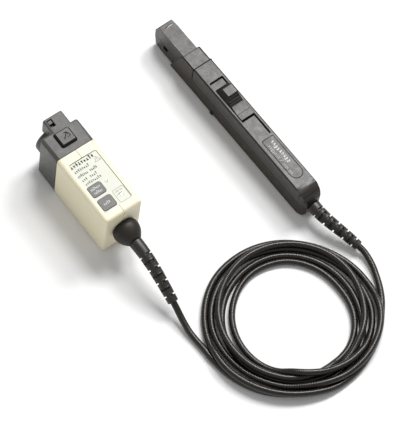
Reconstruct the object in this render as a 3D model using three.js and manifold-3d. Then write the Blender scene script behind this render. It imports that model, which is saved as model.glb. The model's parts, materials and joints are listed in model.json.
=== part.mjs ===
// Current probe for an oscilloscope, in millimetres, +Z up.
// The probe head lies on its flat underside along X, with its jaw towards +X.
// The compensation box stands beside it on +Y, and one cable joins the two
// through a loose round coil behind them. The origin is the middle of the
// head's underside.
import * as THREE from 'three';
import { mergeVertices } from 'three/addons/utils/BufferGeometryUtils.js';
import Module from 'manifold-3d';

const wasm = await Module();
wasm.setup();

// ---------------------------------------------------------------- dimensions
const GAP = 0.3;                  // running clearance between neighbouring pieces

// Probe head: distances along it are measured back from the jaw's top front edge.
const HEAD_LENGTH = 200;
const HEAD_WIDTH = 19.2;
const HEAD_HEIGHT = 33;
const PARTING_HEIGHT = 16;        // where the lower shell meets the top cover
const JAW_WIDTH = 14.5;
const JAW_TOP = 29.9;
const JAW_SPLIT = 13.1;           // the fixed jaw ends and the sliding jaw begins
const NOSE_REACH = 3.9;           // how far the beak stands ahead of the top edge
const COLLAR_WIDTH = 16.8;
const COLLAR_TOP = 31.3;
const COLLAR_START = 34.6;
const COLLAR_END = 49.4;
const COVER_START = 50.3;
const SHELL_START = 22.8;
const CHEEK_START = 33.3;         // the shell's side walls rise to this point beside the jaw
const CHEEK_TOP = 30.6;
const NOTCH_START = 9.6;          // conductor opening, along the head
const NOTCH_LENGTH = 5.4;
const NOTCH_FLOOR = 8.0;
const JAW_TRAVEL = 18.6;
const JAW_ROOT_HALF = 7.1;        // half width of the fixed jaw inside the lower shell
const JAW_BAR_TOP = 28.6;
const CORE_HALF = 3.5;
const CORE_BASE = 3;
const CORE_YOKE_TOP = 6.2;
const FRONT_LEG = [4, 8];         // the core's legs, along the head
const REAR_LEG = [20, 24];
const WINDING_HALF = 5.4;
const POCKET_START = 68.2;        // slider pocket in the top cover
const POCKET_END = 133.4;
const POCKET_DEPTH = 1.6;
const POCKET_HALF = 6.9;
const SLIDER_START = 76.5;
const SLIDER_END = 111.3;
const STEM_START = 79;
const STEM_LENGTH = 4;
const HEAD_LABEL_START = 136;
const HEAD_LABEL_END = 179.5;
const HEAD_SCREWS = [118, 172];
const HEAD_CABLE_HEIGHT = 15.5;
const SIDE_NUB = [77.6, 81, 1.1];  // small rib low on the near side: start, end, how far it stands out

// Compensation box: distances along it run from the cable end to the nose.
const BOX_X = -28.5;
const BOX_Y = 142.9;
const BOX_TURN = THREE.MathUtils.degToRad(-1.27);
const BOX_WIDTH = 36.8;
const BOX_HEIGHT = 54.4;
const BODY_LENGTH = 67.1;
const BLOCK_END = 90.4;
const WALL = 2.2;
const LID = 2.4;                  // thickness of the box's top wall
const NOSE_END = 103.6;
const NOSE_LOW_Y = -11.8;
const NOSE_HIGH_Y = 6.9;
const NOSE_FLOOR = 36;
const BNC_HEIGHT = 27.5;
const BNC_RADIUS = 7.6;
const COLLAR_RING_RADIUS = 15.6;
const COLLAR_RING_INNER = 12.6;
const COLLAR_RING_END = 99.9;
const CABLE_HEIGHT = 28.5;
const DOME_LENGTH = 17.5;
const LABEL_START = 7.2;
const LABEL_END = 58.5;
const LABEL_LOW_Y = -13.6;
const LABEL_HIGH_Y = 14;
const LABEL_THICK = 0.8;
const KEY_LOW_Y = 0.6;
const KEY_HIGH_Y = 13.4;
const KEYS = [['menu', 8.6, 19.7], ['degauss', 22.9, 33.6]];
const KEY_PROUD = 0.6;
const KEY_RADIUS = 2;             // corners of the keys
const BOX_EDGE_RADIUS = 3.2;
const BOX_END_BEVEL = 2.6;
const BLOCK_END_BEVEL = 1.6;
const SHELL_SCREWS = [[9, 7.5], [60, 7.5], [9, 42], [60, 42]];   // along the box, height
const CONTACTS = [-7.8, -6, -4.2, -2.4];    // places of the contact pins across the nose
const SCREW_HEAD_RADIUS = 2.3;
const SCREW_SHANK_RADIUS = 1.2;
const LATCH_LOW = [73.6, -7];   // the latch button's corners, along and across
const LATCH_HIGH = [87.9, 7.7];
const LATCH_PROUD = 3;
const LEVER_PIVOT = 71;
const LEVER_PIVOT_HEIGHT = 49.2;
const LEVER_LOW_Y = 0.8;
const LEVER_HIGH_Y = 4.1;
const PIN_BORE = 1.3;
const HOOK_SLOT = [94.3, 101.4];  // opening in the nose's top, along the box
const HOOK_END = 100.7;
const CONTACT_HEIGHT = 48;
const SPRING_SHELF = 39.7;
const SPRING_PLACE = [80, 2.45];
const SPRING_RADIUS = 2;
const SPRING_WIRE = 0.6;
const SPRING_TURNS = 5;

// Cable
const CABLE_DIAMETER = 5.5;
const COIL_X = -167;
const COIL_Y = 74;
const COIL_INNER = 47.5;
const COIL_OUTER = 75;
const COIL_HEIGHT = 13.5;
const FLOOR_RUN = CABLE_DIAMETER / 2 + 0.1;

// The cable's free stretches, from each boot's tip to the coil's rim.
const BOX_LEAD_ROUTE = [
  [-101.45, 145.45, 11.95], [-106.5, 145.9, 9.75], [-112.5, 146.7, 7.4], [-119, 147.5, 5.5],
  [-125.5, 148.2, 4.2], [-131, 148.2, FLOOR_RUN + 0.3], [-136.5, 147.9, FLOOR_RUN],
];
const HEAD_LEAD_ROUTE = [
  [-148.9, -10.85, 6.65], [-153.5, -11.7, 5.6], [-159.5, -11.6, 4.6], [-166.5, -10.4, 3.8],
  [-173, -8.5, 3.3], [-179.5, -6, FLOOR_RUN + 0.1], [-185.5, -3.2, FLOOR_RUN],
];
const BOX_BOOT_ROUTE = [
  [-46.4, 143.3, CABLE_HEIGHT], [-53, 143.45, CABLE_HEIGHT - 0.1], [-64, 143.7, 26.8], [-76, 144.1, 23.1],
  [-88.5, 144.7, 17.8], [-100.9, 145.4, 12.2],
];
const HEAD_BOOT_ROUTE = [
  [-100.5, 0, HEAD_CABLE_HEIGHT], [-106, -0.1, HEAD_CABLE_HEIGHT - 0.05], [-115, -1.3, 14.6],
  [-126, -4.3, 12.4], [-137, -7.8, 9.5], [-148.3, -10.7, 6.8],
];

// ----------------------------------------------------------------- materials
const finish = (color, roughness, metalness = 0) =>
  new THREE.MeshStandardMaterial({ color, roughness, metalness });
const headPlastic = finish(0x4d4d4b, 0.62);
const jawPlastic = finish(0x474745, 0.6);
const blackPlastic = finish(0x2b2a29, 0.55);
const creamPlastic = finish(0xe9e3c8, 0.5);
const labelFilm = finish(0xefeddc, 0.4);
const keyRubber = finish(0x7d7d7a, 0.6);
const bootRubber = finish(0x1e1d1c, 0.7);
const cableJacket = finish(0x1a1918, 0.45);
const steel = finish(0xb9bcc0, 0.3, 0.95);
const brass = finish(0xc9a45a, 0.3, 0.95);
const copper = finish(0xb4713c, 0.35, 0.9);
const ferrite = finish(0x3a3a3e, 0.7);
const boardGreen = finish(0x2c5b38, 0.55);
const clearLens = finish(0xcfe8c4, 0.2);

// ------------------------------------------------------------ solid modelling
function solid(geometry) {
  const bare = geometry.index ? geometry.clone() : geometry;
  bare.deleteAttribute('normal');
  bare.deleteAttribute('uv');
  const welded = mergeVertices(bare, 1e-4);
  return new wasm.Manifold(new wasm.Mesh({
    numProp: 3,
    vertProperties: new Float32Array(welded.attributes.position.array),
    triVerts: new Uint32Array(welded.index.array),
  }));
}

function toGeometry(body) {
  const mesh = body.getMesh();
  const geometry = new THREE.BufferGeometry();
  geometry.setAttribute('position', new THREE.BufferAttribute(mesh.vertProperties, 3));
  geometry.setIndex(new THREE.BufferAttribute(mesh.triVerts, 1));
  geometry.computeVertexNormals();
  return geometry;
}

function piece(group, name, body, material) {
  const mesh = new THREE.Mesh(toGeometry(body), material);
  mesh.name = name;
  group.add(mesh);
  return mesh;
}

function box(x0, x1, y0, y1, z0, z1) {
  const geometry = new THREE.BoxGeometry(x1 - x0, y1 - y0, z1 - z0);
  geometry.translate((x0 + x1) / 2, (y0 + y1) / 2, (z0 + z1) / 2);
  return solid(geometry);
}

function roundedOutline(u0, u1, v0, v1, radius) {
  const shape = new THREE.Shape();
  shape.moveTo(u0 + radius, v0);
  shape.absarc(u1 - radius, v0 + radius, radius, -Math.PI / 2, 0);
  shape.absarc(u1 - radius, v1 - radius, radius, 0, Math.PI / 2);
  shape.absarc(u0 + radius, v1 - radius, radius, Math.PI / 2, Math.PI);
  shape.absarc(u0 + radius, v0 + radius, radius, Math.PI, Math.PI * 1.5);
  return shape;
}

function outline(points) {
  return new THREE.Shape(points.map(([u, v]) => new THREE.Vector2(u, v)));
}

// Extrudes a shape and lays its own u, v and depth along three given directions.
function prism(shape, start, end, [u, v, depth], { bevel = 0, run = bevel, steps = 2, curve = 4 } = {}) {
  const geometry = new THREE.ExtrudeGeometry(shape, {
    depth: end - start - 2 * run,
    curveSegments: curve,
    bevelEnabled: bevel > 0,
    bevelSize: bevel,
    bevelOffset: -bevel,
    bevelThickness: run,
    bevelSegments: steps,
  });
  geometry.translate(0, 0, run + (depth.x + depth.y + depth.z > 0 ? start : -end));
  geometry.applyMatrix4(new THREE.Matrix4().makeBasis(u, v, depth));
  return solid(geometry);
}

const X = new THREE.Vector3(1, 0, 0);
const Y = new THREE.Vector3(0, 1, 0);
const Z = new THREE.Vector3(0, 0, 1);
const MINUS_Y = new THREE.Vector3(0, -1, 0);
const prismX = (shape, x0, x1, options) => prism(shape, x0, x1, [Y, Z, X], options);
const prismZ = (shape, z0, z1, options) => prism(shape, z0, z1, [X, Y, Z], options);
const prismY = (shape, y0, y1, options) => prism(shape, y0, y1, [X, Z, MINUS_Y], options);

// A turned solid whose profile is a list of [distance along the axis, radius].
function turnedGeometry(profile, sides) {
  return new THREE.LatheGeometry(profile.map(([along, radius]) => new THREE.Vector2(radius, along)), sides);
}

function turnedX(profile, y, z, sides = 24) {
  const geometry = turnedGeometry(profile, sides);
  geometry.applyMatrix4(new THREE.Matrix4().makeBasis(MINUS_Y, X, Z));
  geometry.translate(0, y, z);
  return solid(geometry);
}

function turnedZ(profile, x, y, sides = 16) {
  const geometry = turnedGeometry(profile, sides);
  geometry.rotateX(Math.PI / 2);
  geometry.translate(x, y, 0);
  return solid(geometry);
}

function turnedY(profile, x, z, sides = 16) {
  const geometry = turnedGeometry(profile, sides);
  geometry.translate(x, 0, z);
  return solid(geometry);
}

const rod = (start, end, radius) => [[start, 0], [start, radius], [end, radius], [end, 0]];
const rodX = (x0, x1, y, z, radius, sides) => turnedX(rod(x0, x1, radius), y, z, sides);
const rodZ = (z0, z1, x, y, radius, sides) => turnedZ(rod(z0, z1, radius), x, y, sides);
const rodY = (y0, y1, x, z, radius, sides) => turnedY(rod(y0, y1, radius), x, z, sides);

// A smooth curve through a list of points.
function route(points) {
  return new THREE.CatmullRomCurve3(points.map((p) => new THREE.Vector3(...p)), false, 'centripetal');
}

function circleShape(radius, sides) {
  const points = Array.from({ length: sides }, (_, i) => {
    const angle = (i / sides) * 2 * Math.PI;
    return [radius * Math.cos(angle), radius * Math.sin(angle)];
  });
  return outline(points);
}

function tube(points, diameter, sides, stepsPerTube) {
  return solid(new THREE.ExtrudeGeometry(circleShape(diameter / 2, sides), {
    steps: stepsPerTube,
    extrudePath: route(points),
    bevelEnabled: false,
  }));
}

// Bends a turned solid so that its axis follows a route.
function bentTurning(profile, points, sides) {
  const curve = route(points);
  const length = curve.getLength();
  const geometry = turnedGeometry(profile, sides);
  const position = geometry.attributes.position;
  const vertex = new THREE.Vector3();
  for (let i = 0; i < position.count; i += 1) {
    vertex.fromBufferAttribute(position, i);
    const along = THREE.MathUtils.clamp(vertex.y / length, 0, 1);
    const tangent = curve.getTangentAt(along);
    const across = new THREE.Vector3().crossVectors(Z, tangent).normalize();
    const upward = new THREE.Vector3().crossVectors(tangent, across);
    const spot = curve.getPointAt(along);
    spot.addScaledVector(across, vertex.z).addScaledVector(upward, vertex.x);
    position.setXYZ(i, spot.x, spot.y, spot.z);
  }
  return solid(geometry);
}

// ---------------------------------------------------------------- probe head
const back = (distance) => HEAD_LENGTH / 2 - distance;   // x of a place behind the tip
const TAIL = -HEAD_LENGTH / 2;
const HALF = HEAD_WIDTH / 2;

function headForm() {
  const section = roundedOutline(-HALF, HALF, 0, HEAD_HEIGHT, 1.6);
  const bar = prismX(section, TAIL, back(SHELL_START), { curve: 4 });
  const plan = new THREE.Shape();
  plan.moveTo(back(0), -HALF - 1);
  plan.lineTo(back(0), HALF + 1);
  plan.lineTo(back(183), HALF);
  plan.quadraticCurveTo(TAIL + 0.6, HALF - 0.3, TAIL, 6.2);
  plan.lineTo(TAIL, -6.2);
  plan.quadraticCurveTo(TAIL + 0.6, -HALF + 0.3, back(183), -HALF);
  const side = new THREE.Shape();
  side.moveTo(back(0), -1);
  side.lineTo(back(0), HEAD_HEIGHT + 1);
  side.lineTo(back(185.5), HEAD_HEIGHT);
  side.bezierCurveTo(back(193.5), HEAD_HEIGHT, TAIL, HEAD_HEIGHT - 4, TAIL, HEAD_CABLE_HEIGHT + 5);
  side.lineTo(TAIL, 8);
  side.quadraticCurveTo(TAIL + 1, 0, back(188), 0);
  side.lineTo(back(180), -1);
  return bar
    .intersect(prismZ(plan, -1, HEAD_HEIGHT + 1, { curve: 14 }))
    .intersect(prismY(side, -HALF - 1, HALF + 1, { curve: 16 }));
}

function buildHeadShells(group) {
  const form = headForm();
  const screwX = HEAD_SCREWS.map(back);
  const throat = rodX(TAIL - 1, TAIL + 12, 0, HEAD_CABLE_HEIGHT, 5.1, 16);

  // Lower shell: a tray whose side walls rise as cheeks on each side of the jaw.
  const cheekLine = prismY(outline([
    [back(COVER_START - GAP), HEAD_HEIGHT + 1], [back(COVER_START - GAP), CHEEK_TOP],
    [back(CHEEK_START + 1.6), CHEEK_TOP], [back(CHEEK_START), CHEEK_TOP - 2.2],
    [back(SHELL_START) + 0.5, 0.8], [back(0), 0.8], [back(0), HEAD_HEIGHT + 1],
  ]), -HALF - 1, HALF + 1);
  const frontBay = box(back(COVER_START - GAP), back(0), -8.7, 8.7, 13, HEAD_HEIGHT);
  let lower = form
    .subtract(box(TAIL - 1, back(COVER_START - GAP), -HALF - 1, HALF + 1, PARTING_HEIGHT, HEAD_HEIGHT + 1))
    .subtract(cheekLine)
    .subtract(frontBay)
    .subtract(box(back(192), back(46.6), -7.7, 7.7, 2, PARTING_HEIGHT + 1))
    .subtract(box(back(72), back(COVER_START - 1), -8.75, 8.75, JAW_SPLIT - 0.2, PARTING_HEIGHT + 1))
    .subtract(box(back(47), back(SHELL_START - 1), -7.4, 7.4, 2, PARTING_HEIGHT + 1))
    .subtract(throat);
  for (const x of screwX) {
    lower = lower
      .add(rodZ(1, 6.8, x, 0, 3.8))
      .subtract(rodZ(-1, 3, x, 0, 2.7))
      .subtract(rodZ(-1, 8, x, 0, 1.6));
  }
  const [nubStart, nubEnd, nubProud] = SIDE_NUB;
  lower = lower.add(box(back(nubEnd), back(nubStart), HALF - 1, HALF + nubProud, 0.8, 3.4));
  piece(group, 'head_lower_shell', lower, headPlastic);

  // Top cover: open underneath, with the slider's pocket and the label's recess.
  const pocket = prismZ(roundedOutline(back(POCKET_END), back(POCKET_START), -POCKET_HALF, POCKET_HALF, 0.8),
    HEAD_HEIGHT - POCKET_DEPTH, HEAD_HEIGHT + 1);
  const stemSlot = box(back(STEM_START + STEM_LENGTH + JAW_TRAVEL + 1), back(STEM_START - 1), -3.4, 3.4,
    HEAD_HEIGHT - 5, HEAD_HEIGHT);
  let upper = form
    .subtract(box(TAIL - 1, back(0), -HALF - 1, HALF + 1, -1, PARTING_HEIGHT + GAP))
    .subtract(box(back(COVER_START), back(0) + 1, -HALF - 1, HALF + 1, 0, HEAD_HEIGHT + 1))
    .subtract(box(back(POCKET_START), back(COVER_START - 1), -8.7, 8.7, 0, COLLAR_TOP + GAP))
    .subtract(box(back(180), back(POCKET_START - 1), -7.9, 7.9, 0, HEAD_HEIGHT - POCKET_DEPTH - 1.2))
    .subtract(box(back(192), back(179), -6.5, 6.5, 0, 24))
    .subtract(pocket)
    .subtract(stemSlot)
    .subtract(prismZ(headLabelOutline(0), HEAD_HEIGHT - 0.7, HEAD_HEIGHT + 1, { curve: 8 }))
    .subtract(throat);
  for (const x of screwX) {
    upper = upper
      .add(rodZ(9.8, HEAD_HEIGHT - POCKET_DEPTH - 0.8, x, 0, 3))
      .subtract(rodZ(6, 17, x, 0, 1.5));
  }
  piece(group, 'head_top_cover', upper, headPlastic);

  HEAD_SCREWS.forEach((distance, index) => {
    piece(group, `head_screw_${index + 1}`, headScrew(back(distance), 0.9, 14), steel);
  });
}

// A pan-headed screw, from the outside of its head to the end of its shank.
function screwProfile(low, high) {
  return [
    [low, 0], [low, SCREW_HEAD_RADIUS], [low + 1.7, SCREW_HEAD_RADIUS],
    [low + 1.8, SCREW_SHANK_RADIUS], [high, SCREW_SHANK_RADIUS], [high + 0.8, 0],
  ];
}

function headScrew(x, low, high) {
  return turnedZ(screwProfile(low, high), x, 0, 12)
    .subtract(box(x - 3, x + 3, -0.4, 0.4, low - 1, low + 0.7));
}

function headLabelOutline(inset) {
  const front = back(HEAD_LABEL_START) - inset;
  const rear = back(HEAD_LABEL_END) + inset;
  const low = -6.5 + inset;
  const high = 5.2 - inset;
  const middle = (low + high) / 2;
  const radius = (high - low) / 2;
  const shape = new THREE.Shape();
  shape.moveTo(front, low + 1);
  shape.lineTo(front, high - 1);
  shape.lineTo(front - 1, high);
  shape.lineTo(rear + radius, high);
  shape.absarc(rear + radius, middle, radius, Math.PI / 2, Math.PI * 1.5);
  shape.lineTo(front - 1, low);
  return shape;
}

// Side outline of the whole beak, from which both jaws are cut.
function beakOutline() {
  return outline([
    [back(80), JAW_TOP], [back(0.8), JAW_TOP], [back(0), JAW_TOP - 0.6], [back(-NOSE_REACH), 20],
    [back(-NOSE_REACH) - 0.3, 12], [back(-1.4), 2.2], [back(0.4), 1], [back(80), 1],
  ]);
}

function beakPlan() {
  const half = JAW_WIDTH / 2;
  return outline([
    [back(80), -half], [back(7), -half], [back(-NOSE_REACH), -half + 0.9],
    [back(-NOSE_REACH), half - 0.9], [back(7), half], [back(80), half],
  ]);
}

function buildJaws(group) {
  const half = JAW_WIDTH / 2;
  const beak = prismY(beakOutline(), -half, half).intersect(prismZ(beakPlan(), 0, 40));

  // Magnetic core: a fixed U below the conductor and a bar above it that slides away.
  const core = (grow) => {
    const wide = CORE_HALF + grow;
    const spanOf = (near, far) => [back(far) - grow, back(near) + grow, -wide, wide];
    const front = box(...spanOf(...FRONT_LEG), CORE_BASE + 1, 11.9 + 7 * grow);
    const rear = box(...spanOf(...REAR_LEG), CORE_BASE + 1, 12.8 + 7 * grow);
    return box(...spanOf(FRONT_LEG[0], REAR_LEG[1]), CORE_BASE - grow, CORE_YOKE_TOP + grow)
      .add(front)
      .add(rear);
  };
  const winding = (grow) => box(back(REAR_LEG[1] + 2.4) - grow, back(REAR_LEG[0] - 2.4) + grow,
    -WINDING_HALF - grow, WINDING_HALF + grow, 6.8 - grow, 11.7 + grow);
  const legHole = box(back(REAR_LEG[1]) - GAP, back(REAR_LEG[0]) + GAP, -CORE_HALF - GAP, CORE_HALF + GAP, 6, 13);
  const wireDuct = box(back(47), back(26), -2, 2, 7.5, 10.5);

  // Fixed jaw: the beak below the split, narrowed where it sits in the lower shell.
  const notch = box(back(NOTCH_START + NOTCH_LENGTH), back(NOTCH_START), -half - 1, half + 1,
    NOTCH_FLOOR, JAW_SPLIT + 1);
  const rootStart = back(SHELL_START - GAP);
  const lower = beak
    .intersect(box(back(46), back(-10), -half, half, 0, JAW_SPLIT))
    .subtract(box(back(47), rootStart, -10, 10, 0, 2 + GAP))
    .subtract(box(back(47), rootStart, JAW_ROOT_HALF, 10, 0, 20))
    .subtract(box(back(47), rootStart, -10, -JAW_ROOT_HALF, 0, 20))
    .subtract(notch)
    .subtract(core(GAP))
    .subtract(winding(GAP))
    .subtract(wireDuct);
  piece(group, 'lower_jaw', lower, jawPlastic);
  piece(group, 'lower_core', core(0), ferrite);
  piece(group, 'sense_winding', winding(0).subtract(legHole), copper);
  const sensor = box(back(FRONT_LEG[1] - 0.2), back(FRONT_LEG[0] + 0.2), -2.4, 2.4, 12.2, 12.9);
  piece(group, 'field_sensor', sensor, blackPlastic);

  // Sliding jaw: beak top, collar, neck and the bar that the thumb slider pulls.
  const base = JAW_SPLIT + GAP;
  const collarHalf = COLLAR_WIDTH / 2;
  const collarSection = roundedOutline(-collarHalf, collarHalf, base, COLLAR_TOP, 0.6);
  const neck = box(back(58), back(COLLAR_END - 1), -half + 0.2, half - 0.2, base, JAW_BAR_TOP);
  const pullBar = box(back(86), back(57), -4.5, 4.5, 21, JAW_BAR_TOP);
  const hollow = box(back(44), back(28), -5.2, 5.2, base - 1, 27);
  const detentChannel = box(back(59), back(43), -2.5, 2.5, base - 1, 20.5);
  const coreBay = box(back(24.4), back(3.6), -CORE_HALF - GAP, CORE_HALF + GAP, base - 1, 17.8);
  const stemHole = box(back(STEM_START + STEM_LENGTH) - GAP, back(STEM_START) + GAP, -2.9, 2.9, 23, 30);
  const upper = beak
    .intersect(box(back(COLLAR_START + 1), back(-10), -half, half, base, 40))
    .add(prismX(collarSection, back(COLLAR_END), back(COLLAR_START), { curve: 2 }))
    .add(neck)
    .add(pullBar)
    .subtract(hollow)
    .subtract(detentChannel)
    .subtract(coreBay)
    .subtract(stemHole);
  piece(group, 'jaw_slide', upper, jawPlastic);
  piece(group, 'upper_core', box(back(24), back(4), -CORE_HALF, CORE_HALF, base + 0.2, 17.5), ferrite);
}

function buildThumbSlider(group) {
  const floor = HEAD_HEIGHT - POCKET_DEPTH + 0.2;
  const half = POCKET_HALF - 0.3;
  // Side outline: low front lip, steep front, flat top, scooped grip, rear plate.
  const side = outline([
    [back(SLIDER_END), floor], [back(SLIDER_END), HEAD_HEIGHT + 0.9], [back(103), HEAD_HEIGHT + 0.9],
    [back(97), HEAD_HEIGHT + 1.6], [back(93), HEAD_HEIGHT + 2.4], [back(89), HEAD_HEIGHT + 4.6],
    [back(88.6), HEAD_HEIGHT + 5.2], [back(80.6), HEAD_HEIGHT + 5.2], [back(SLIDER_START), HEAD_HEIGHT + 0.6],
    [back(SLIDER_START), floor],
  ]);
  const section = outline([
    [-half, floor], [half, floor], [half, HEAD_HEIGHT + 0.8], [half - 3.4, HEAD_HEIGHT + 5.4],
    [-half + 0.4, HEAD_HEIGHT + 5.4], [-half, HEAD_HEIGHT + 0.8],
  ]);
  let slider = prismY(side, -half, half).intersect(prismX(section, back(SLIDER_END), back(SLIDER_START)));
  for (const [near, top] of [[89.6, 4.4], [91.6, 3.4], [93.6, 2.5], [95.6, 2.0]]) {
    const groove = box(back(near + 0.9), back(near), -10, 10, HEAD_HEIGHT + top - 1, HEAD_HEIGHT + 6);
    slider = slider.subtract(groove);
  }
  const stem = box(back(STEM_START + STEM_LENGTH), back(STEM_START), -2.6, 2.6, 23.3, floor + 0.5);
  piece(group, 'thumb_slider', slider.add(stem), headPlastic);
}

function buildHeadInside(group) {
  const plate = prismZ(headLabelOutline(GAP), HEAD_HEIGHT - 0.4, HEAD_HEIGHT, { curve: 8 });
  piece(group, 'head_label_plate', plate, headPlastic);
  const board = box(back(166), back(62), -7.2, 7.2, 8, 9.5)
    .subtract(rodZ(7, 11, back(HEAD_SCREWS[0]), 0, 4.2));
  piece(group, 'head_circuit_board', board, boardGreen);
  piece(group, 'head_amplifier_chip', box(back(145), back(132), -4, 4, 9.8, 12.4), blackPlastic);
  piece(group, 'head_trimmer', box(back(100), back(94), -3, 3, 9.8, 14), creamPlastic);
  const leaf = outline([[back(74), 17], [back(66), 17], [back(63), 18.6], [back(60), 17], [back(59), 17.4],
    [back(63), 19.3], [back(67), 17.6], [back(74), 17.6]]);
  piece(group, 'detent_spring', prismY(leaf, -1.5, 1.5), steel);
  const clamp = box(back(186.5), back(180.5), -5.8, 5.8, 10.2, 20.8)
    .subtract(rodX(back(187), back(180), 0, HEAD_CABLE_HEIGHT, 3.1, 16));
  piece(group, 'head_cable_clamp', clamp, blackPlastic);
}

// A moulded strain relief: a plain collar, then ribs that get thinner to the tip.
function bootProfile(length, collar, ribs, baseRadius, tipRadius, groove) {
  const pitch = (length - collar) / ribs;
  const radiusAt = (s) => THREE.MathUtils.lerp(baseRadius, tipRadius, s / length);
  const profile = [[0, 0], [0, baseRadius], [collar - pitch * 0.3, radiusAt(collar)]];
  for (let i = 0; i < ribs; i += 1) {
    const start = collar + i * pitch;
    profile.push([start - pitch * 0.28, radiusAt(start) - groove], [start, radiusAt(start) - groove]);
    profile.push([start + 0.02, radiusAt(start)], [start + pitch * 0.7, radiusAt(start + pitch * 0.7)]);
  }
  profile.push([length, tipRadius], [length, 0]);
  return profile;
}

function buildBoot(group, name, points, ribs, baseRadius, tipRadius) {
  const length = route(points).getLength();
  const profile = bootProfile(length, 8, ribs, baseRadius, tipRadius, 1.1);
  piece(group, name, bentTurning(profile, points, 16), bootRubber);
}

const probe = new THREE.Group();
probe.name = 'current_probe';

const head = new THREE.Group();
probe.add(head);
buildHeadShells(head);
buildJaws(head);
buildThumbSlider(head);
buildHeadInside(head);
buildBoot(head, 'head_boot', HEAD_BOOT_ROUTE, 8, 5.9, 4.1);
piece(head, 'head_boot_anchor', turnedX([
  [TAIL - 0.1, 0], [TAIL - 0.1, 4.7], [TAIL + 8.3, 4.7], [TAIL + 8.3, 6.2],
  [TAIL + 10.6, 6.2], [TAIL + 10.6, 2.7], [TAIL + 22, 2.7], [TAIL + 22, 0],
], 0, HEAD_CABLE_HEIGHT, 16), bootRubber);

// ----------------------------------------------------------- compensation box
const HALF_BOX = BOX_WIDTH / 2;

// The rounded hole that a key stands in, through the lid and the label.
function keyHole([, near, far]) {
  const shape = roundedOutline(near - GAP, far + GAP, KEY_LOW_Y - GAP, KEY_HIGH_Y + GAP, KEY_RADIUS + GAP);
  return prismZ(shape, BOX_HEIGHT - 4.4, BOX_HEIGHT + 6);
}

function buildShells(group) {
  const section = roundedOutline(-HALF_BOX, HALF_BOX, 0, BOX_HEIGHT, BOX_EDGE_RADIUS);
  const form = prismX(section, 0, BODY_LENGTH + 3, { bevel: BOX_END_BEVEL, steps: 4, curve: 5 })
    .intersect(box(-1, BODY_LENGTH, -40, 40, -1, 60));
  const labelRecess = prismZ(roundedOutline(LABEL_START, LABEL_END, LABEL_LOW_Y, LABEL_HIGH_Y, 2.4),
    BOX_HEIGHT - LABEL_THICK - 0.1, BOX_HEIGHT + 1);
  const hollow = form
    .subtract(box(WALL, BODY_LENGTH + 1, -HALF_BOX + WALL, HALF_BOX - WALL, WALL, BOX_HEIGHT - 2.4))
    .subtract(labelRecess)
    .subtract(rodX(-1, WALL + 1, 0, CABLE_HEIGHT, 6.4, 20));
  const keyHoles = KEYS.map(keyHole);
  const lamp = rodZ(50, 60, 14, -7, 1.6, 12);
  const halves = [['box_shell_near', 0.12, 40], ['box_shell_far', -40, -0.12]];
  for (const [name, low, high] of halves) {
    const sign = Math.sign(low + high);
    let shell = hollow.intersect(box(-1, BODY_LENGTH + 1, low, high, -1, 60));
    shell = sign > 0 ? keyHoles.reduce((body, hole) => body.subtract(hole), shell) : shell.subtract(lamp);
    for (const [x, z] of SHELL_SCREWS) {
      const wallY = sign * HALF_BOX;
      if (sign > 0) {
        shell = shell.add(rodY(0.2, wallY - 1, x, z, 3.4)).subtract(rodY(-1, 12, x, z, 1.5));
      } else {
        shell = shell.add(rodY(wallY + 1, -0.4, x, z, 3.8))
          .subtract(rodY(wallY - 1, wallY + 3, x, z, 2.7))
          .subtract(rodY(wallY - 1, 1, x, z, 1.6));
      }
    }
    piece(group, name, shell, creamPlastic);
  }
  SHELL_SCREWS.forEach(([x, z], index) => {
    const low = -HALF_BOX + 0.8;
    const screw = turnedY(screwProfile(low, 9), x, z, 12)
      .subtract(box(x - 3, x + 3, low - 1, low + 0.7, z - 0.4, z + 0.4));
    piece(group, `box_screw_${index + 1}`, screw, steel);
  });
}

function buildLabelAndKeys(group) {
  const top = BOX_HEIGHT - LABEL_THICK + 0.2;
  const sheet = roundedOutline(LABEL_START + GAP, LABEL_END - GAP, LABEL_LOW_Y + GAP, LABEL_HIGH_Y - GAP, 2.1);
  let label = prismZ(sheet, top, BOX_HEIGHT);
  for (const key of KEYS) label = label.subtract(keyHole(key));
  label = label.subtract(rodZ(50, 60, 14, -7, 1.6, 12));
  piece(group, 'label_panel', label, labelFilm);

  for (const [name, near, far] of KEYS) {
    const centreX = (near + far) / 2;
    const centreY = (KEY_LOW_Y + KEY_HIGH_Y) / 2;
    const face = roundedOutline(near, far, KEY_LOW_Y, KEY_HIGH_Y, KEY_RADIUS);
    const cap = prismZ(face, 51, BOX_HEIGHT + KEY_PROUD, { bevel: 0.4, steps: 1 });
    const flange = box(near - 0.9, far + 0.9, KEY_LOW_Y - 0.7, KEY_HIGH_Y + 0.7, 50.4, 51.7);
    piece(group, `${name}_button`, cap.add(flange), keyRubber);
    const contact = box(centreX - 3, centreX + 3, centreY - 3, centreY + 3, 46.7, 48.9)
      .add(rodZ(48, 49.4, centreX, centreY, 1.7, 12));
    piece(group, `${name}_switch`, contact, blackPlastic);
  }
  piece(group, 'status_light', rodZ(47, BOX_HEIGHT, 14, -7, 1.3, 12), clearLens);
  piece(group, 'key_circuit_board', box(4, 50, -15, 15, 44.8, 46.4)
    .subtract(rodY(-20, 20, 9, 42, 4.2))
    .subtract(box(3, 14, -16, 16, 44, 46)), boardGreen);
}

function buildElectronics(group) {
  piece(group, 'main_circuit_board', box(16, 54, -9.6, -8, 5, 43), boardGreen);
  const can = box(22, 48, -7.7, -1.5, 14, 38).subtract(box(22.6, 47.4, -8, -2.1, 14.6, 37.4));
  piece(group, 'shield_can', can, steel);
  piece(group, 'degauss_relay', box(22, 36, -7.7, 1.5, 5.5, 12.5), blackPlastic);
  const clamp = box(7.4, 12.6, -9, 9, 21.2, 35.8).subtract(rodX(7, 13, 0, CABLE_HEIGHT, 3.1, 16));
  piece(group, 'box_cable_clamp', clamp, blackPlastic);
}

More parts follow.
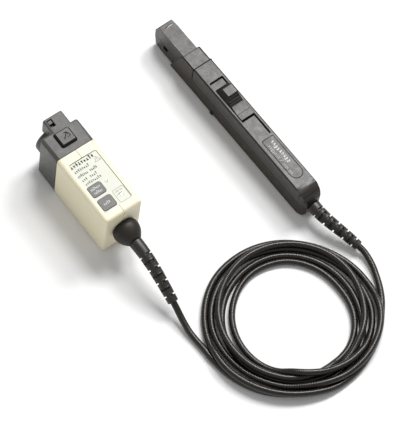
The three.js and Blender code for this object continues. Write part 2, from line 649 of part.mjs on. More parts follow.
function buildConnectorEnd(group) {
  const start = BODY_LENGTH + GAP;
  const section = roundedOutline(-HALF_BOX, HALF_BOX, 0, BOX_HEIGHT, BOX_EDGE_RADIUS);
  const block = prismX(section, start - 3, BLOCK_END, { bevel: BLOCK_END_BEVEL, steps: 3, curve: 5 })
    .intersect(box(start, 200, -40, 40, -1, 60));
  const noseSection = roundedOutline(NOSE_LOW_Y, NOSE_HIGH_Y, NOSE_FLOOR, BOX_HEIGHT, 1.8);
  const nose = prismX(noseSection, BLOCK_END - 6, NOSE_END, { bevel: 1, steps: 2 });
  const ring = turnedX([
    [BLOCK_END - 3, 0], [BLOCK_END - 3, COLLAR_RING_RADIUS], [COLLAR_RING_END - 1, COLLAR_RING_RADIUS],
    [COLLAR_RING_END, COLLAR_RING_RADIUS - 1], [COLLAR_RING_END, 0],
  ], 0, BNC_HEIGHT, 32);
  const ringHollow = rodX(BLOCK_END - 0.5, NOSE_END + 1, 0, BNC_HEIGHT, COLLAR_RING_INNER, 32);
  const inside = HALF_BOX - WALL;
  const cavity = box(start - 1, BLOCK_END - WALL, -inside, inside, WALL, BOX_HEIGHT - LID);

  // Inside: a shelf under the latch spring and a cheek on each side of the lever's pivot.
  const leverSlot = [LEVER_LOW_Y - GAP, LEVER_HIGH_Y + GAP];
  const cheekSides = [LEVER_LOW_Y - 2.6, LEVER_HIGH_Y + 2.6];
  const shelf = box(SPRING_PLACE[0] - 5, BLOCK_END - 1, -2, 7, SPRING_SHELF - 1.3, SPRING_SHELF);
  const cheek = box(start, LEVER_PIVOT + 2, ...cheekSides, LEVER_PIVOT_HEIGHT - 2, BOX_HEIGHT - 1)
    .subtract(box(start - 1, 90, ...leverSlot, 40, BOX_HEIGHT - LID));
  const pinBores = rodY(...cheekSides, LEVER_PIVOT, LEVER_PIVOT_HEIGHT, PIN_BORE, 16)
    .subtract(box(0, 200, ...leverSlot, 0, 100));
  const leverTunnel = box(LEVER_PIVOT, NOSE_END - 1.2, ...leverSlot, 43.6, 51.8);
  const hookSlot = box(...HOOK_SLOT, LEVER_LOW_Y - 0.9, LEVER_HIGH_Y + 0.6, 46, 60);
  const latchShape = roundedOutline(LATCH_LOW[0] - 0.4, LATCH_HIGH[0] + GAP, LATCH_LOW[1] - 0.4,
    LATCH_HIGH[1] + 0.4, 2);
  const latchHole = prismZ(latchShape, BOX_HEIGHT - 5, BOX_HEIGHT + 1);
  const pinBay = box(BLOCK_END - 3, 100, NOSE_LOW_Y + 2, LEVER_LOW_Y - 1.5, 44, 51.6);
  const pinWindow = box(99, NOSE_END + 1, NOSE_LOW_Y + 2.6, LEVER_LOW_Y - 2, 45.4, 50.4);
  const housing = block.add(nose).add(ring)
    .subtract(cavity)
    .subtract(ringHollow)
    .add(shelf)
    .add(cheek)
    .subtract(pinBores)
    .subtract(leverTunnel)
    .subtract(hookSlot)
    .subtract(latchHole)
    .subtract(pinBay)
    .subtract(pinWindow)
    .subtract(rodX(BLOCK_END - 4, BLOCK_END + 1, 0, BNC_HEIGHT, BNC_RADIUS + 0.5, 24));
  piece(group, 'connector_housing', housing, blackPlastic);

  // Bayonet connector in the collar.
  const bncEnd = COLLAR_RING_END - 3;
  const shell = turnedX([
    [68, 2.6], [68, 7], [78, 7], [78, 9.4], [81, 9.4], [81, BNC_RADIUS], [bncEnd, BNC_RADIUS],
    [bncEnd, 6.4], [90, 6.4], [90, 2.6], [68, 2.6],
  ], 0, BNC_HEIGHT, 24);
  const lug = rodY(-9.2, 9.2, bncEnd - 3, BNC_HEIGHT, 1, 8)
    .subtract(rodX(80, 101, 0, BNC_HEIGHT, 7, 24));
  piece(group, 'bnc_shell', shell.add(lug), steel);
  const sleeve = turnedX([[69, 1.1], [69, 2.3], [90, 2.3], [90, 1.1], [69, 1.1]], 0, BNC_HEIGHT, 16);
  piece(group, 'bnc_insulator', sleeve, creamPlastic);
  piece(group, 'bnc_centre_pin', rodX(66, 94.5, 0, BNC_HEIGHT, 0.8, 10), brass);

  // Spring contacts in the nose, side by side in an insulating block.
  const contactBlock = CONTACTS.reduce((body, y) => body.subtract(rodX(80, 110, y, CONTACT_HEIGHT, 0.75, 8)),
    box(BLOCK_END + 1, 98.6, NOSE_LOW_Y + 2.4, LEVER_LOW_Y - 1.9, 44.4, 51.2));
  piece(group, 'contact_block', contactBlock, creamPlastic);
  CONTACTS.forEach((y, index) => {
    piece(group, `contact_pin_${index + 1}`, rodX(88, 101.2, y, CONTACT_HEIGHT, 0.45, 8), brass);
  });
}

function buildLatch(group) {
  const buttonTop = BOX_HEIGHT + LATCH_PROUD;
  const lid = BOX_HEIGHT - LID;
  const [startX, lowY] = LATCH_LOW;
  const [endX, highY] = LATCH_HIGH;
  const cap = prismZ(roundedOutline(startX, endX, lowY, highY, 2.2), lid - 4.5, buttonTop,
    { bevel: 1.4, run: 3, steps: 1, curve: 3 })
    .intersect(box(0, 200, -40, 40, lid - 0.6, 100));
  const flange = box(LEVER_PIVOT + 2 + GAP, BLOCK_END - WALL - GAP, lowY - 1.2, highY + 1.2, lid - 1.3, lid - GAP);
  const leverRelief = box(startX - 2, LEVER_PIVOT + 8.5, LEVER_LOW_Y - 0.6, LEVER_HIGH_Y + 0.6, lid - 2, lid - GAP);
  piece(group, 'latch_button', cap.add(flange).subtract(leverRelief), blackPlastic);

  // The lever lies under the button, turns about the pin and ends in a hook in the nose.
  const under = LEVER_PIVOT_HEIGHT - 1.3;
  const lever = box(LEVER_PIVOT, HOOK_END, LEVER_LOW_Y, LEVER_HIGH_Y, under, lid - 1.6)
    .add(box(HOOK_END - 3.1, HOOK_END, LEVER_LOW_Y, LEVER_HIGH_Y, under, BOX_HEIGHT - 0.5))
    .add(rodY(LEVER_LOW_Y, LEVER_HIGH_Y, LEVER_PIVOT, LEVER_PIVOT_HEIGHT, 2.4, 16))
    .subtract(rodY(-10, 20, LEVER_PIVOT, LEVER_PIVOT_HEIGHT, PIN_BORE, 16));
  piece(group, 'latch_lever', lever, blackPlastic);
  const pin = rodY(LEVER_LOW_Y - 2.3, LEVER_HIGH_Y + 2.3, LEVER_PIVOT, LEVER_PIVOT_HEIGHT, PIN_BORE - GAP, 12);
  piece(group, 'latch_pin', pin, steel);

  const [springX, springY] = SPRING_PLACE;
  const springLow = SPRING_SHELF + 0.2 + SPRING_WIRE / 2;
  const springHigh = under - 0.2 - SPRING_WIRE / 2;
  const stepsPerTurn = 8;
  const turns = Array.from({ length: SPRING_TURNS * stepsPerTurn + 1 }, (_, i) => {
    const angle = (i / stepsPerTurn) * 2 * Math.PI;
    const rise = THREE.MathUtils.lerp(springLow, springHigh, i / (SPRING_TURNS * stepsPerTurn));
    return [springX + SPRING_RADIUS * Math.cos(angle), springY + SPRING_RADIUS * Math.sin(angle), rise];
  });
  piece(group, 'latch_spring', tube(turns, SPRING_WIRE, 6, SPRING_TURNS * 12), steel);
}

function buildGland(group) {
  const profile = [
    [-DOME_LENGTH, 0], [-DOME_LENGTH, 5.9], [-15.5, 7.4], [-12, 9.9], [-8, 11.4], [-4.5, 11.7], [-1.5, 10.9],
    [-GAP, 10.2], [-GAP, 6.1], [WALL + GAP, 6.1], [WALL + GAP, 8], [WALL + 2, 8],
    [WALL + 2, CABLE_DIAMETER / 2 - 0.05], [15, CABLE_DIAMETER / 2 - 0.05], [15, 0],
  ];
  piece(group, 'cable_dome', turnedX(profile, 0, CABLE_HEIGHT, 24), bootRubber);
}

const compensationBox = new THREE.Group();
compensationBox.position.set(BOX_X, BOX_Y, 0);
compensationBox.rotation.z = BOX_TURN;
probe.add(compensationBox);
buildShells(compensationBox);
buildLabelAndKeys(compensationBox);
buildElectronics(compensationBox);
buildConnectorEnd(compensationBox);
buildLatch(compensationBox);
buildGland(compensationBox);

// ----------------------------------------------------------------- the cable
const cable = new THREE.Group();
probe.add(cable);
buildBoot(cable, 'box_boot', BOX_BOOT_ROUTE, 7, 5.8, 4.3);
piece(cable, 'box_lead', tube(BOX_LEAD_ROUTE, CABLE_DIAMETER, 10, 6), cableJacket);
piece(cable, 'head_lead', tube(HEAD_LEAD_ROUTE, CABLE_DIAMETER, 10, 6), cableJacket);

function buildCoil(group) {
  const round = 2.6;
  const corner = (radius, height, from) => Array.from({ length: 4 }, (_, i) => {
    const angle = from + (i / 3) * (Math.PI / 2);
    return new THREE.Vector2(radius + round * Math.cos(angle), height + round * Math.sin(angle));
  });
  const section = [
    ...corner(COIL_OUTER - round, round, -Math.PI / 2),
    ...corner(COIL_OUTER - round, COIL_HEIGHT - round, 0),
    ...corner(COIL_INNER + round, COIL_HEIGHT - round, Math.PI / 2),
    ...corner(COIL_INNER + round, round, Math.PI),
  ];
  const ring = new THREE.LatheGeometry([...section, section[0].clone()], 48);
  ring.rotateX(Math.PI / 2);
  ring.translate(COIL_X, COIL_Y, 0);
  piece(group, 'cable_coil', solid(ring), cableJacket);
}

buildCoil(cable);

export default probe;
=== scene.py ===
import json
import math

import bmesh
import bpy
import numpy as np
from mathutils import Matrix, Vector

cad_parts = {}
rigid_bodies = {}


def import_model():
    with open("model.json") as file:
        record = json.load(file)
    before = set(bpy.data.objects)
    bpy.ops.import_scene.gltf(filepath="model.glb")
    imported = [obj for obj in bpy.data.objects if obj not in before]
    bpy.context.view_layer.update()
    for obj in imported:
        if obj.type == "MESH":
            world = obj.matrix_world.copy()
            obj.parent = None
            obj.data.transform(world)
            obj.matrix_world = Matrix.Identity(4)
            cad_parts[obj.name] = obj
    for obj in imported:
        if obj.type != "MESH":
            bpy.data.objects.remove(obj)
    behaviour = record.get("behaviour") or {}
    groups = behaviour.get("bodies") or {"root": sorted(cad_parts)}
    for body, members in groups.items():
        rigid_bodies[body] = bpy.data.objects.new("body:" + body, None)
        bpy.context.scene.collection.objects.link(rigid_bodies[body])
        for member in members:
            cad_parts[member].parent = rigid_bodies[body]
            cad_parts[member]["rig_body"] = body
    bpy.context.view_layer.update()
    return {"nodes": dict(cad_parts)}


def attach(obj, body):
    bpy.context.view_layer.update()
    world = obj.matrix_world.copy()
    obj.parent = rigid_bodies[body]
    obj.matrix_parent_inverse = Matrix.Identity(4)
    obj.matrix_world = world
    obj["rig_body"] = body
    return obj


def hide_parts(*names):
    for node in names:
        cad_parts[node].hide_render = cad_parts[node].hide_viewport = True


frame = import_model()
nodes = frame["nodes"]
scene = bpy.context.scene
MM = 0.001                       # lengths below are millimetres unless a comment says metres

# The head lies along x, with its tip at +100. The box stands beside it, turned a little.
HEAD_FRAME = Matrix.Identity(4)
BOX_FRAME = Matrix.Translation((-28.5 * MM, 142.9 * MM, 0)) @ Matrix.Rotation(math.radians(-1.27), 4, "Z")
HEAD_TIP = 100
HEAD_TOP, COLLAR_TOP, JAW_TOP, POCKET_FLOOR = 33.0, 31.3, 29.9, 31.4
SLIDER_TAIL_TOP, SLIDER_SHADOW_TOP = 33.9, 31.45
BOX_TOP, KEY_TOP, LATCH_TOP = 54.4, 55.0, 57.4


# ------------------------------------------------------------------ the camera
ELEVATION, ROLL = math.radians(63.23), math.radians(10.94)
AHEAD = Vector((0.6715, -0.7410, 0))          # the way the camera faces, on the floor
ASIDE = Vector((-0.7410, -0.6715, 0))
AIM = Vector((-0.0475, 0.0750, 0))            # metres
CAMERA_DISTANCE, FAR_CLIP = 2.463, 50         # metres
FOCAL_LENGTH, SENSOR_WIDTH = 251.8, 36


def add_camera():
    backward = -AHEAD * math.cos(ELEVATION) + Vector((0, 0, math.sin(ELEVATION)))
    upward = backward.cross(ASIDE)
    axis_x = math.cos(ROLL) * ASIDE + math.sin(ROLL) * upward
    axis_y = -math.sin(ROLL) * ASIDE + math.cos(ROLL) * upward
    camera = bpy.data.objects.new("camera", bpy.data.cameras.new("camera"))
    scene.collection.objects.link(camera)
    camera.data.lens = FOCAL_LENGTH
    camera.data.sensor_width = SENSOR_WIDTH
    camera.data.clip_end = FAR_CLIP
    turn = Matrix((axis_x, axis_y, backward)).transposed().to_4x4()
    camera.matrix_world = Matrix.Translation(AIM + backward * CAMERA_DISTANCE) @ turn
    scene.camera = camera


add_camera()


# ----------------------------------------------------------------- shader nodes
def shader(name):
    material = bpy.data.materials.new(name + "_look")
    material.use_nodes = True
    tree = material.node_tree
    tree.nodes.clear()
    surface = tree.nodes.new("ShaderNodeBsdfPrincipled")
    output = tree.nodes.new("ShaderNodeOutputMaterial")
    tree.links.new(surface.outputs["BSDF"], output.inputs["Surface"])
    return material, tree, surface


def noise(tree, vector, scale, detail=2.0, roughness=0.5):
    node = tree.nodes.new("ShaderNodeTexNoise")
    node.inputs["Scale"].default_value = scale
    node.inputs["Detail"].default_value = detail
    node.inputs["Roughness"].default_value = roughness
    tree.links.new(vector, node.inputs["Vector"])
    return node.outputs["Fac"]


def ramp(tree, value, stops):
    node = tree.nodes.new("ShaderNodeValToRGB")
    while len(node.color_ramp.elements) < len(stops):
        node.color_ramp.elements.new(0.5)
    for element, (place, colour) in zip(node.color_ramp.elements, stops):
        element.position = place
        element.color = (*colour, 1)
    tree.links.new(value, node.inputs["Fac"])
    return node.outputs["Color"]


def spread(tree, value, low, high, from_low=0.3, from_high=0.7):
    node = tree.nodes.new("ShaderNodeMapRange")
    limits = (("From Min", from_low), ("From Max", from_high), ("To Min", low), ("To Max", high))
    for key, number in limits:
        node.inputs[key].default_value = number
    tree.links.new(value, node.inputs["Value"])
    return node.outputs["Result"]


def bump(tree, height, distance, strength=1.0, under=None):
    node = tree.nodes.new("ShaderNodeBump")
    node.inputs["Distance"].default_value = distance
    node.inputs["Strength"].default_value = strength
    tree.links.new(height, node.inputs["Height"])
    if under is not None:
        tree.links.new(under, node.inputs["Normal"])
    return node.outputs["Normal"]


def mix(tree, factor, first, second):
    """A colour mix; each value is a number, a colour or another node's output."""
    node = tree.nodes.new("ShaderNodeMix")
    node.data_type = "RGBA"
    for socket, value in ((node.inputs[0], factor), (node.inputs[6], first), (node.inputs[7], second)):
        if isinstance(value, (int, float)):
            socket.default_value = value
        elif isinstance(value, tuple):
            socket.default_value = (*value, 1)
        else:
            tree.links.new(value, socket)
    return node.outputs[2]


def math_node(tree, operation, first, second):
    node = tree.nodes.new("ShaderNodeMath")
    node.operation = operation
    tree.links.new(first, node.inputs[0])
    if isinstance(second, (int, float)):
        node.inputs[1].default_value = second
    else:
        tree.links.new(second, node.inputs[1])
    return node.outputs[0]


def shade(colour, factor):
    return tuple(min(1.0, channel * factor) for channel in colour)


def flat_tops(tree, place, band):
    """One on upward faces outside the band of x that a textured grip takes up, zero elsewhere."""
    facing = tree.nodes.new("ShaderNodeSeparateXYZ")
    tree.links.new(tree.nodes.new("ShaderNodeNewGeometry").outputs["True Normal"], facing.inputs[0])
    level = math_node(tree, "GREATER_THAN", facing.outputs["Z"], 0.95)
    if band is None:
        return level
    spot = tree.nodes.new("ShaderNodeSeparateXYZ")
    tree.links.new(place, spot.inputs[0])
    middle, half = (band[0] + band[1]) / 2 * MM, abs(band[1] - band[0]) / 2 * MM
    away = math_node(tree, "ABSOLUTE", math_node(tree, "SUBTRACT", spot.outputs["X"], middle), 0)
    return math_node(tree, "MULTIPLY", level, math_node(tree, "GREATER_THAN", away, half))


# -------------------------------------------------------------------- materials
SIDE_ROUGHNESS = 0.35            # how much rougher a moulding with painted side shade is off its flat tops


def moulded(name, colour, rough, grain=0.35, depth=0.02, vary=0.12, speckle=0.0, specular=0.5, metal=0.0,
            sides=None, band=None):
    """A moulded surface: a fine spark-eroded grain, faint flow clouds and handling marks.

    grain and depth are the grain's size and height. With sides, every face but a flat top has the
    colour darkened by that factor as painted shade, and is rougher; band is the range of x that counts as a
    side too.
    """
    material, tree, surface = shader(name)
    place = tree.nodes.new("ShaderNodeTexCoord").outputs["Object"]
    cloud = noise(tree, place, 38, 3)
    fine = noise(tree, place, 1 / (grain * MM), 3, 0.62)
    base = ramp(tree, cloud, [(0.3, shade(colour, 1 - vary)), (0.7, shade(colour, 1 + vary))])
    if speckle:
        stops = [(0.36, shade(colour, 1 - speckle)), (0.5, colour), (0.66, shade(colour, 1 + speckle))]
        base = mix(tree, 0.55, base, ramp(tree, fine, stops))
    marks = noise(tree, place, 190, 4, 0.6)
    gloss = spread(tree, marks, rough - 0.05, rough + 0.06)
    # Painted shade: every face but a flat top, and the band, takes the colour darkened by the sides factor.
    if sides is not None:
        level = flat_tops(tree, place, band)
        base = mix(tree, level, shade(colour, sides), base)
        rougher = math_node(tree, "ADD", gloss, SIDE_ROUGHNESS)
        gloss = math_node(tree, "SUBTRACT", rougher, math_node(tree, "MULTIPLY", level, SIDE_ROUGHNESS))
    tree.links.new(base, surface.inputs["Base Color"])
    tree.links.new(gloss, surface.inputs["Roughness"])
    tree.links.new(bump(tree, fine, depth * MM), surface.inputs["Normal"])
    surface.inputs["Metallic"].default_value = metal
    surface.inputs["Specular IOR Level"].default_value = specular
    return material


def metal(name, colour, rough, depth=0.008, vary=0.08):
    return moulded(name, colour, rough, grain=0.2, depth=depth, vary=vary, metal=1.0)


def ink(name, colour, rough, vary, specular=0.5):
    return moulded(name, colour, rough, grain=0.2, depth=0.004, vary=vary, specular=specular)


RIB_PITCH, CABLE_ROUND = 1.35, 17.3      # along the cable, and round it
RIB_HEIGHT = 0.07


def cable_material():
    """A woven-look jacket: fine slanted ribs round the cable, with a soft wax-like gloss."""
    material, tree, surface = shader("cable_jacket")
    place = tree.nodes.new("ShaderNodeTexCoord")
    ribs = tree.nodes.new("ShaderNodeTexWave")
    ribs.wave_type = "BANDS"
    ribs.bands_direction = "DIAGONAL"
    ribs.wave_profile = "SIN"
    ribs.inputs["Scale"].default_value = 2 * math.pi / (10 * RIB_PITCH)
    twist = tree.nodes.new("ShaderNodeVectorMath")
    twist.operation = "MULTIPLY"
    twist.inputs[1].default_value = (1, RIB_PITCH / CABLE_ROUND, 1)
    tree.links.new(place.outputs["UV"], twist.inputs[0])
    tree.links.new(twist.outputs["Vector"], ribs.inputs["Vector"])
    dust = noise(tree, place.outputs["Object"], 260, 4, 0.6)
    fine = noise(tree, place.outputs["Object"], 2600, 2)
    stops = [(0.3, (0.007, 0.005, 0.003)), (0.62, (0.012, 0.009, 0.006)), (0.8, (0.020, 0.016, 0.013))]
    tree.links.new(ramp(tree, dust, stops), surface.inputs["Base Color"])
    tree.links.new(spread(tree, dust, 0.24, 0.34), surface.inputs["Roughness"])
    grain = bump(tree, fine, 0.012 * MM)
    tree.links.new(bump(tree, ribs.outputs["Fac"], RIB_HEIGHT * MM, 0.9, grain), surface.inputs["Normal"])
    surface.inputs["Specular IOR Level"].default_value = 0.5
    return material


def lens_material():
    """The clear window of the status light, a little hazy."""
    material, tree, surface = shader("clear_lens")
    place = tree.nodes.new("ShaderNodeTexCoord").outputs["Object"]
    haze = noise(tree, place, 900, 3)
    stops = [(0.3, (0.78, 0.78, 0.66)), (0.7, (0.84, 0.84, 0.73))]
    tree.links.new(ramp(tree, haze, stops), surface.inputs["Base Color"])
    tree.links.new(spread(tree, haze, 0.08, 0.2), surface.inputs["Roughness"])
    surface.inputs["Coat Weight"].default_value = 0.6
    return material


HEAD = moulded("head_plastic", (0.025, 0.020, 0.016), 0.33, 0.42, 0.04, 0.10, 0.30, specular=0.38)
SHELL = moulded("shell_plastic", (0.029, 0.021, 0.014), 0.42, 0.42, 0.04, 0.10, 0.30, specular=0.28)
JAW = moulded("jaw_plastic", (0.028, 0.024, 0.020), 0.33, 0.45, 0.04, 0.10, 0.30, specular=0.38)
# Painted shade: the slider's sides and grip band are darker than its flat tops.
SLIDER = moulded("slider_plastic", (0.026, 0.021, 0.017), 0.33, 0.45, 0.04, 0.10, 0.30, specular=0.38,
                 sides=0.35, band=(10.9, 2.9))
BLOCK = moulded("black_plastic", (0.072, 0.070, 0.066), 0.40, 0.5, 0.07, 0.12, 0.60, specular=0.42)
# Painted shade: the latch button's sides are darker than its top.
LATCH = moulded("latch_plastic", (0.075, 0.072, 0.068), 0.40, 0.5, 0.06, 0.10, 0.40, specular=0.42,
                sides=0.16)
CREAM = moulded("cream_plastic", (0.86, 0.795, 0.58), 0.45, 0.5, 0.025, 0.03, 0.03)
FILM = moulded("label_film", (0.66, 0.67, 0.58), 0.45, 0.6, 0.01, 0.03, 0.02, specular=0.35)
KEY = moulded("key_rubber", (0.20, 0.20, 0.195), 0.6, 0.3, 0.03, 0.08, 0.08, specular=0.25)
BOOT = moulded("boot_rubber", (0.019, 0.016, 0.013), 0.42, 0.35, 0.03, 0.2, 0.2, specular=0.5)
DOME = moulded("dome_rubber", (0.018, 0.014, 0.011), 0.50, 0.3, 0.01, 0.15, specular=0.35)
FERRITE = moulded("ferrite", (0.045, 0.045, 0.050), 0.5, grain=0.2, depth=0.02, vary=0.2, speckle=0.3)
BOARD = moulded("board_green", (0.025, 0.10, 0.045), 0.35, grain=0.8, depth=0.02, vary=0.15, speckle=0.15)
SEAM = moulded("seam_shadow", (0.34, 0.20, 0.10), 0.6, grain=0.3, depth=0.01, vary=0.2)
CABLE = cable_material()
LENS = lens_material()

STEEL = metal("steel", (0.60, 0.60, 0.61), 0.26)
BRASS = metal("brass", (0.72, 0.50, 0.22), 0.28)
COPPER = metal("copper", (0.62, 0.29, 0.16), 0.32, depth=0.03, vary=0.15)

JAW_INK = ink("jaw_ink", (0.55, 0.55, 0.54), 0.5, 0.1)
WHITE_INK = ink("white_ink", (0.70, 0.70, 0.69), 0.5, 0.06)
KEY_INK = ink("key_ink", (0.66, 0.66, 0.64), 0.5, 0.06)
NOTE_INK = ink("note_ink", (0.50, 0.52, 0.52), 0.6, 0.08, specular=0.2)
PALE_INK = ink("pale_ink", (0.36, 0.36, 0.33), 0.6, 0.08, specular=0.2)
GREY_INK = ink("grey_ink", (0.12, 0.12, 0.105), 0.6, 0.12, specular=0.2)
# Olive-dark colour painted as shade in the gap round the box label.
OLIVE_GAP_SHADE = ink("olive_gap_shade", (0.060, 0.060, 0.030), 0.6, 0.12, specular=0.2)
# Dark ink for print, also used as painted shade and shadow in gaps and behind parts.
DARK_INK_AND_SHADE = ink("dark_ink_and_shade", (0.010, 0.008, 0.007), 0.8, 0.12, specular=0.08)

CARRIED = {
    HEAD: ["head_top_cover", "head_label_plate"],
    SHELL: ["head_lower_shell"],
    SLIDER: ["thumb_slider"],
    LATCH: ["latch_button"],
    JAW: ["lower_jaw", "jaw_slide"],
    BLOCK: ["connector_housing", "latch_lever", "field_sensor", "head_amplifier_chip", "head_cable_clamp",
            "menu_switch", "degauss_switch", "degauss_relay", "box_cable_clamp"],
    CREAM: ["box_shell_near", "box_shell_far", "head_trimmer", "bnc_insulator", "contact_block"],
    FILM: ["label_panel"],
    KEY: ["menu_button", "degauss_button"],
    BOOT: ["head_boot_anchor", "head_boot", "box_boot", "cable_dome"],
    CABLE: ["box_lead", "head_lead", "cable_coil"],
    STEEL: ["head_screw_1", "head_screw_2", "box_screw_1", "box_screw_2", "box_screw_3", "box_screw_4",
            "detent_spring", "shield_can", "bnc_shell", "latch_pin", "latch_spring"],
    BRASS: ["bnc_centre_pin", "contact_pin_1", "contact_pin_2", "contact_pin_3", "contact_pin_4"],
    COPPER: ["sense_winding"],
    FERRITE: ["lower_core", "upper_core"],
    BOARD: ["head_circuit_board", "key_circuit_board", "main_circuit_board"],
    LENS: ["status_light"],
}
MATERIAL_OF = {name: material for material, names in CARRIED.items() for name in names}
for name, node in nodes.items():
    node.data.materials.clear()
    node.data.materials.append(MATERIAL_OF[name])


# --------------------------------------------------------------- mesh building
def new_object(name, mesh, material, body, smooth_angle=40):
    piece = bpy.data.objects.new(name, mesh)
    scene.collection.objects.link(piece)
    mesh.materials.clear()
    mesh.materials.append(material)
    mesh.shade_smooth()
    mesh.set_sharp_from_angle(angle=math.radians(smooth_angle))
    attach(piece, body)
    return piece


def mesh_from(name, points, faces):
    mesh = bpy.data.meshes.new(name)
    mesh.from_pydata([tuple(point) for point in points], [], faces)
    mesh.update()
    return mesh


def face_outward(mesh):
    work = bmesh.new()
    work.from_mesh(mesh)
    bmesh.ops.recalc_face_normals(work, faces=work.faces)
    work.to_mesh(mesh)
    work.free()


def edge_can_round(edge, width, sharp):
    """Whether an edge is sharp, long, and has room for a rounding on both of its faces."""
    if len(edge.link_faces) != 2 or edge.calc_length() < 2.5 * width:
        return False
    if edge.calc_face_angle(0) < sharp:
        return False
    start = edge.verts[0].co
    along = (edge.verts[1].co - start).normalized()
    for face in edge.link_faces:
        arms = [vertex.co - start for vertex in face.verts]
        if max((arm - along * arm.dot(along)).length for arm in arms) < 2.6 * width:
            return False
    return True


def refined(node, width, sharp=38, segments=2, smooth=50):
    """A finished copy of a CAD solid, with its sharp edges rounded, that takes the solid's place."""
    source = nodes[node]
    mesh = source.data.copy()
    work = bmesh.new()
    work.from_mesh(mesh)
    bmesh.ops.remove_doubles(work, verts=work.verts, dist=1e-6)
    bmesh.ops.dissolve_limit(work, angle_limit=math.radians(0.6), verts=work.verts, edges=work.edges)
    edges = [edge for edge in work.edges if edge_can_round(edge, width * MM, math.radians(sharp))]
    if edges:
        bmesh.ops.bevel(work, geom=edges, offset=width * MM, offset_type="OFFSET", segments=segments,
                        profile=0.5, affect="EDGES", clamp_overlap=False)
    bmesh.ops.remove_doubles(work, verts=work.verts, dist=2e-6)
    bmesh.ops.recalc_face_normals(work, faces=work.faces)
    work.to_mesh(mesh)
    work.free()
    look = MATERIAL_OF[node]
    piece = new_object(node + "_finished", mesh, look, source["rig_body"], smooth)
    weighted = piece.modifiers.new("weighted", "WEIGHTED_NORMAL")
    weighted.keep_sharp = True
    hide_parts(node)


ROUNDING = {
    "head_top_cover": 0.25, "head_lower_shell": 0.3, "jaw_slide": 0.25, "lower_jaw": 0.25,
    "thumb_slider": 0.3, "head_label_plate": 0.12, "connector_housing": 0.3, "latch_button": 0.4,
    "box_shell_near": 0.3, "box_shell_far": 0.3, "label_panel": 0.15, "menu_button": 0.2,
    "degauss_button": 0.2, "contact_block": 0.2,
}
for name, width in ROUNDING.items():
    refined(name, width)


def curve_through(points, step):
    """Points every `step` along a smooth centripetal curve through the given ones."""
    given = np.array(points, float)
    padded = np.vstack([2 * given[0] - given[1], given, 2 * given[-1] - given[-2]])
    pieces = []
    for i in range(1, len(padded) - 2):
        p0, p1, p2, p3 = padded[i - 1 : i + 3]
        k0, k1, k2 = (max(np.linalg.norm(b - a), 1e-9) ** 0.5 for a, b in ((p0, p1), (p1, p2), (p2, p3)))
        m1 = p2 - p1 + k1 * ((p1 - p0) / k0 - (p2 - p0) / (k0 + k1))
        m2 = p2 - p1 + k1 * ((p3 - p2) / k2 - (p3 - p1) / (k1 + k2))
        t = np.linspace(0, 1, 17)[:-1, None]
        pieces.append((2 * t**3 - 3 * t**2 + 1) * p1 + (t**3 - 2 * t**2 + t) * m1
                      + (3 * t**2 - 2 * t**3) * p2 + (t**3 - t**2) * m2)
    dense = np.vstack([*pieces, given[-1:]])
    run = run_along(dense)
    places = np.linspace(0, run[-1], max(2, round(run[-1] / step)) + 1)
    return np.column_stack([np.interp(places, run, dense[:, k]) for k in range(3)])


def run_along(line):
    """How far along the line each of its points is."""
    return np.r_[0, np.cumsum(np.linalg.norm(np.diff(line, axis=0), axis=1))]


def swept(name, line, radius, sides):
    """A closed tube round a line; radius(distance, turn) gives its skin. UV runs in millimetres."""
    tangents = np.gradient(line, axis=0)
    tangents /= np.linalg.norm(tangents, axis=1)[:, None]
    side = np.cross([0, 0, 1], tangents[0])
    side /= np.linalg.norm(side)
    run = run_along(line)
    turns = np.arange(sides) / sides * 2 * math.pi
    points = []
    for centre, tangent, distance in zip(line, tangents, run):
        side = side - tangent * side.dot(tangent)
        side /= np.linalg.norm(side)
        upward = np.cross(tangent, side)
        for turn_angle in turns:
            reach = radius(distance, turn_angle)
            points.append(centre + reach * (math.cos(turn_angle) * side + math.sin(turn_angle) * upward))
    rows = len(line)
    faces = []
    for i in range(rows - 1):
        for j in range(sides):
            after = (j + 1) % sides
            faces.append(((i + 1) * sides + j, (i + 1) * sides + after, i * sides + after, i * sides + j))
    faces.append(tuple(range(sides)))
    faces.append(tuple((rows - 1) * sides + j for j in reversed(range(sides))))
    mesh = mesh_from(name, points, faces)
    uv = mesh.uv_layers.new(name="along_and_round").data
    for polygon in mesh.polygons:
        closes = polygon.loop_total == 4 and polygon.index % sides == sides - 1
        for loop in polygon.loop_indices:
            row, column = divmod(mesh.loops[loop].vertex_index, sides)
            wrapped = sides if column == 0 and closes else column
            uv[loop].uv = (run[row] / MM, wrapped / sides * CABLE_ROUND)
    face_outward(mesh)
    return mesh


# -------------------------------------------------------------------- the cable
DIAMETER = 5.5
COIL_CENTRE = (-167.0, 74.0)
BOX_LEAD = [
    (-98.2, 145.25, 13.4), (-101.45, 145.45, 11.95), (-106.5, 145.9, 9.75), (-112.5, 146.7, 7.4),
    (-119, 147.5, 5.5), (-125.5, 148.2, 4.2), (-131, 148.2, 3.15), (-136.5, 147.9, 2.85),
]
HEAD_LEAD = [
    (-191.5, 0.2, 2.8), (-185.5, -3.2, 2.85), (-179.5, -6, 2.95), (-173, -8.5, 3.3), (-166.5, -10.4, 3.8),
    (-159.5, -11.6, 4.6), (-153.5, -11.7, 5.6), (-148.9, -10.85, 6.65), (-145.8, -10.1, 7.2),
]
